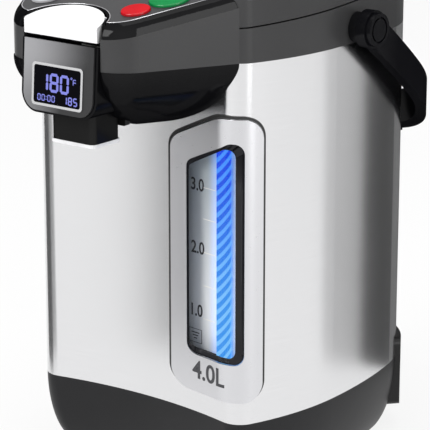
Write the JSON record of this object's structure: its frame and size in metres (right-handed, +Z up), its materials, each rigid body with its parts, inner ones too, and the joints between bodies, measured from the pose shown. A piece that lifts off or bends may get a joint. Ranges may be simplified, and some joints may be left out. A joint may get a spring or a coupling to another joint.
{
  "type": "electric thermo pot",
  "caption": "Electric thermo pot with a beaked spout, lit display, water gauge, rear-hinged lid, bail handle and turning base.",
  "frame": {"origin": "on the table plane, on the upright axis of the steel body", "axes": "+Z up, the spout points along -Y, +X is the side of the water gauge"},
  "size_m": [0.2396, 0.3163, 0.346],
  "materials": {
    "steel": "vertical brushed",
    "inner_steel": "satin",
    "collar": "satin grey",
    "black_gloss": "gloss",
    "black_satin": "satin",
    "panel": "fine matt",
    "head": "metallic grey",
    "chrome": "polished",
    "screen": "dark gloss",
    "clear": "clear",
    "dial": "matt grey",
    "red_key": "satin",
    "green_key": "satin",
    "grey_key": "satin",
    "seal": "silicone",
    "pad": "matt",
    "hose": "silicone",
    "board": "circuit board",
    "brass": "bright",
    "aluminium": "cast",
    "white_plastic": "satin"
  },
  "bodies": {
    "pot": {"outer_shell": "steel", "base_skirt": "black_satin", "base_plate": "black_satin", "base_screws": "steel", "inlet_housing": "black_satin", "inlet_pins": "brass", "upper_collar": "collar", "chin_cover": "black_satin", "panel_bezel": "black_gloss", "control_panel": "panel", "lever_surround": "black_gloss", "lever_pin": "steel", "spout_head": "black_gloss", "head_face": "head", "display_frame": "chrome", "display_window": "screen", "nozzle_block": "black_satin", "nozzle_lip": "clear", "nozzle_bracket": "black_satin", "button_board": "board", "tact_switches": "black_satin", "gauge_gasket": "pad", "gauge_frame": "steel", "gauge_window": "clear", "gauge_rim": "black_satin", "gauge_scale": "dial", "gauge_tube": "clear", "delivery_pipe": "hose", "spout_pipe": "hose", "inner_pot": "inner_steel", "pot_floor": "inner_steel", "heat_shield": "aluminium", "heater_plate": "aluminium", "thermostat": "white_plastic", "suction_pipe": "hose", "pump_housing": "white_plastic", "pump_motor": "inner_steel", "main_board": "board", "board_posts": "white_plastic", "hinge_pin": "steel", "handle_bosses": "black_satin"},
    "turning_base": {"swivel_ring": "black_satin", "foot_pads": "pad"},
    "lid": {"lid_cover": "collar", "lid_liner": "white_plastic", "lid_gasket": "seal", "steam_vent": "black_satin"},
    "handle": {"handle_bail": "collar", "handle_caps": "black_satin"},
    "lever": {"release_lever": "chrome"},
    "dispense_key": {"dispense_button": "green_key"},
    "reboil_key": {"reboil_button": "red_key"},
    "unlock_key": {"unlock_button": "grey_key"},
    "timer_key": {"timer_button": "grey_key"}
  },
  "joints": [
    {"name": "base_swivel", "type": "hinge", "parent": "pot", "child": "turning_base", "pos_m": [0, 0, 0], "axis": [0, 0, 1], "continuous": true},
    {"name": "lid_hinge", "type": "hinge", "parent": "pot", "child": "lid", "pos_m": [0, 0.108, 0.321], "axis": [-1, 0, 0], "range_deg": [0, 80]},
    {"name": "handle_swing", "type": "hinge", "parent": "pot", "child": "handle", "pos_m": [0, -0.008, 0.303], "axis": [1, 0, 0], "range_deg": [0, 124]},
    {"name": "lever_lift", "type": "hinge", "parent": "pot", "child": "lever", "pos_m": [0, -0.163, 0.32202], "axis": [-1, 0, 0], "range_deg": [0, 18], "stiffness_Nm_per_rad": 0.05},
    {"name": "dispense_press", "type": "slide", "parent": "pot", "child": "dispense_key", "axis": [0, 0.2008, -0.9796], "range_m": [0, 0.0012], "stiffness_N_per_m": 300},
    {"name": "reboil_press", "type": "slide", "parent": "pot", "child": "reboil_key", "axis": [0, 0.2008, -0.9796], "range_m": [0, 0.0012], "stiffness_N_per_m": 300},
    {"name": "unlock_press", "type": "slide", "parent": "pot", "child": "unlock_key", "axis": [0, 0.2008, -0.9796], "range_m": [0, 0.0012], "stiffness_N_per_m": 300},
    {"name": "timer_press", "type": "slide", "parent": "pot", "child": "timer_key", "axis": [0, 0.2008, -0.9796], "range_m": [0, 0.0012], "stiffness_N_per_m": 300}
  ]
}
